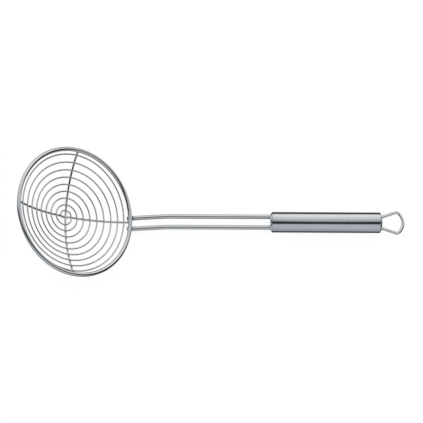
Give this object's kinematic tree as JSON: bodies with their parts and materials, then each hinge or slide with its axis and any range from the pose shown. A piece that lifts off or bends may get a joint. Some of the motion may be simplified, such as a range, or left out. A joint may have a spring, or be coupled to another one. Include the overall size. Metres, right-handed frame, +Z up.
{
  "type": "strainer spoon",
  "caption": "Wire strainer spoon: a shallow dish of spiral wire in a tilted round rim, on parallel shank wires with a satin tube handle and a wire hanging loop.",
  "frame": {"origin": "on the table that the spoon lies on, below the middle of its box", "axes": "+X along the handle from the dish to the hanging loop, +Y across it to the left, +Z up out of the dish"},
  "size_m": [0.3704, 0.1278, 0.081],
  "materials": {
    "polished_wire": "polished stainless steel wire",
    "dish_wire": "drawn stainless steel wire, electropolished",
    "satin_handle": "stainless steel, satin brushed around the tube",
    "loop_wire": "semi-bright stainless steel wire"
  },
  "bodies": {
    "root": {"rim_ring": "polished_wire", "left_shank_wire": "polished_wire", "right_shank_wire": "polished_wire", "spiral_wire": "dish_wire", "long_rib": "dish_wire", "cross_rib": "dish_wire", "handle_tube": "satin_handle", "front_cap": "satin_handle", "rear_cap": "satin_handle", "hanging_loop": "loop_wire"}
  },
  "joints": []
}
